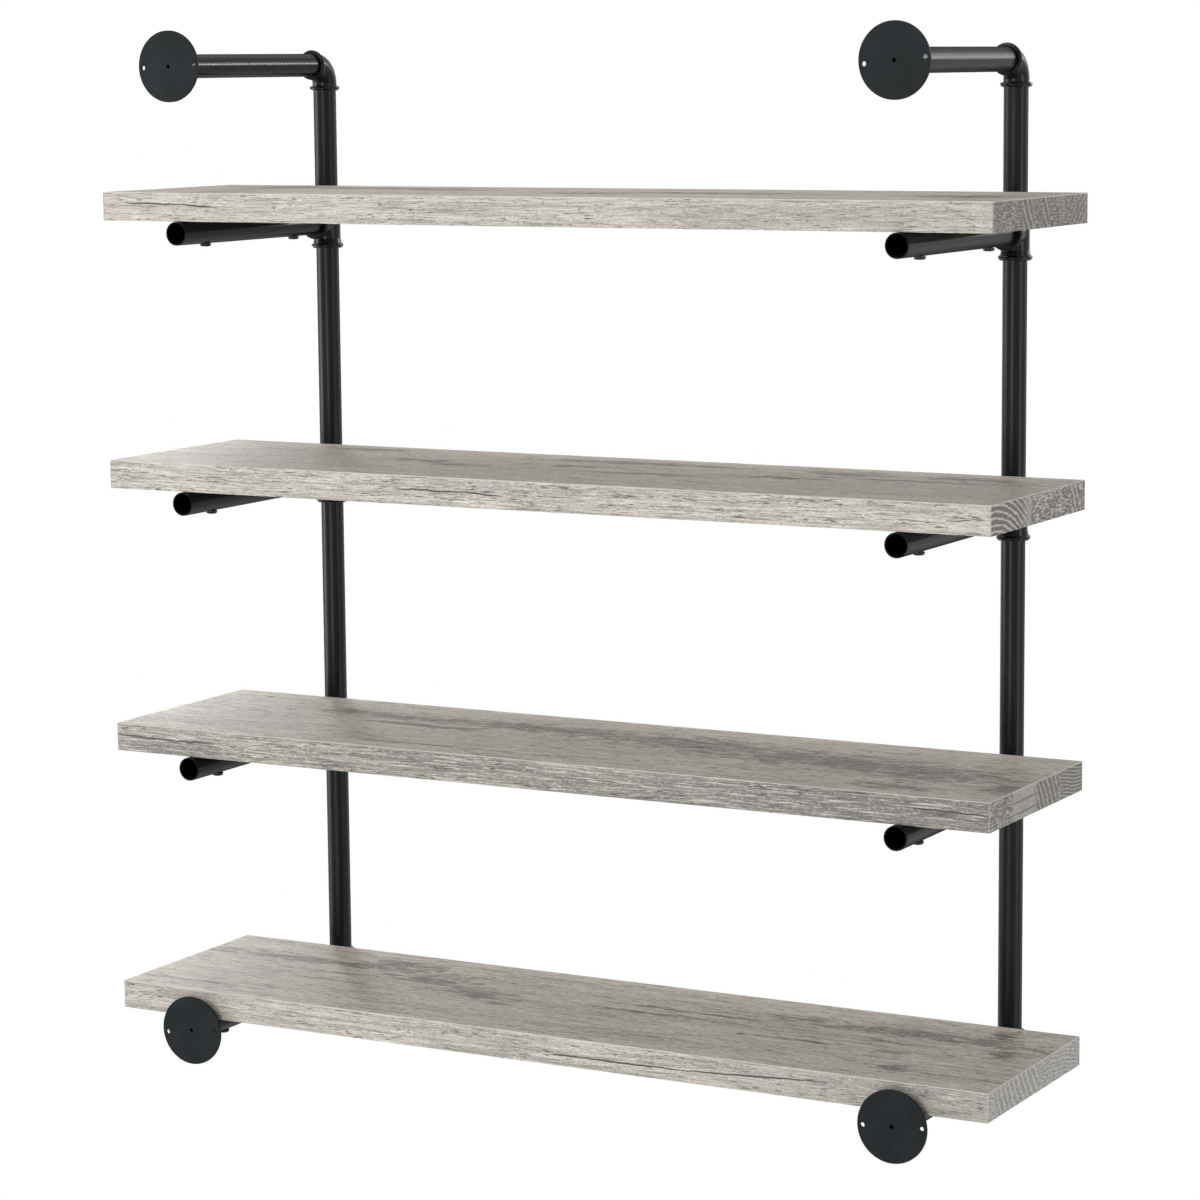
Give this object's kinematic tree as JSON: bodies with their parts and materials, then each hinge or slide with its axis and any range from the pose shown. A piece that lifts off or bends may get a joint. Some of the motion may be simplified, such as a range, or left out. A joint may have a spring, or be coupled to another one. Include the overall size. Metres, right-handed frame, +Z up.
{
  "type": "wall bookshelf",
  "caption": "Wall bookshelf of thick wood-decor boards on two frames of black pipe, with tees, elbows and round wall plates.",
  "frame": {"origin": "on the wall plane, midway between the centres of the four wall plates", "axes": "+Z up, +Y into the wall, +X to the right seen from the room; the boards lie along X on the -Y side of the wall"},
  "size_m": [1.016, 0.3178, 1.1024],
  "materials": {
    "particle_board": "raw chipboard, hidden",
    "decor_face": "satin grey driftwood decor",
    "decor_edge": "satin light grey wood decor",
    "decor_end": "satin grey end-grain decor",
    "black_pipe": "semi-gloss powder coat",
    "black_fitting": "semi-gloss powder coat on castings",
    "black_plate": "flat powder coat",
    "black_screw": "black finish",
    "zinc_steel": "zinc plated, hidden"
  },
  "bodies": {
    "root": {"bottom_shelf_core": "particle_board", "bottom_shelf_end_bands": "decor_end", "bottom_shelf_face_sheets": "decor_face", "bottom_shelf_inserts": "zinc_steel", "bottom_shelf_long_bands": "decor_edge", "bottom_shelf_screws": "black_screw", "left_bottom_elbow": "black_fitting", "left_bottom_wall_arm": "black_pipe", "left_bottom_wall_plate": "black_plate", "left_lower_shelf_arm": "black_pipe", "left_lower_tee": "black_fitting", "left_nipples": "zinc_steel", "left_top_elbow": "black_fitting", "left_top_shelf_arm": "black_pipe", "left_top_tee": "black_fitting", "left_top_wall_arm": "black_pipe", "left_top_wall_plate": "black_plate", "left_upper_shelf_arm": "black_pipe", "left_upper_tee": "black_fitting", "left_upright_1": "black_pipe", "left_upright_2": "black_pipe", "left_upright_3": "black_pipe", "left_upright_4": "black_pipe", "lower_shelf_core": "particle_board", "lower_shelf_end_bands": "decor_end", "lower_shelf_face_sheets": "decor_face", "lower_shelf_inserts": "zinc_steel", "lower_shelf_long_bands": "decor_edge", "lower_shelf_screws": "black_screw", "right_bottom_elbow": "black_fitting", "right_bottom_wall_arm": "black_pipe", "right_bottom_wall_plate": "black_plate", "right_lower_shelf_arm": "black_pipe", "right_lower_tee": "black_fitting", "right_nipples": "zinc_steel", "right_top_elbow": "black_fitting", "right_top_shelf_arm": "black_pipe", "right_top_tee": "black_fitting", "right_top_wall_arm": "black_pipe", "right_top_wall_plate": "black_plate", "right_upper_shelf_arm": "black_pipe", "right_upper_tee": "black_fitting", "right_upright_1": "black_pipe", "right_upright_2": "black_pipe", "right_upright_3": "black_pipe", "right_upright_4": "black_pipe", "top_shelf_core": "particle_board", "top_shelf_end_bands": "decor_end", "top_shelf_face_sheets": "decor_face", "top_shelf_inserts": "zinc_steel", "top_shelf_long_bands": "decor_edge", "top_shelf_screws": "black_screw", "upper_shelf_core": "particle_board", "upper_shelf_end_bands": "decor_end", "upper_shelf_face_sheets": "decor_face", "upper_shelf_inserts": "zinc_steel", "upper_shelf_long_bands": "decor_edge", "upper_shelf_screws": "black_screw"}
  },
  "joints": []
}
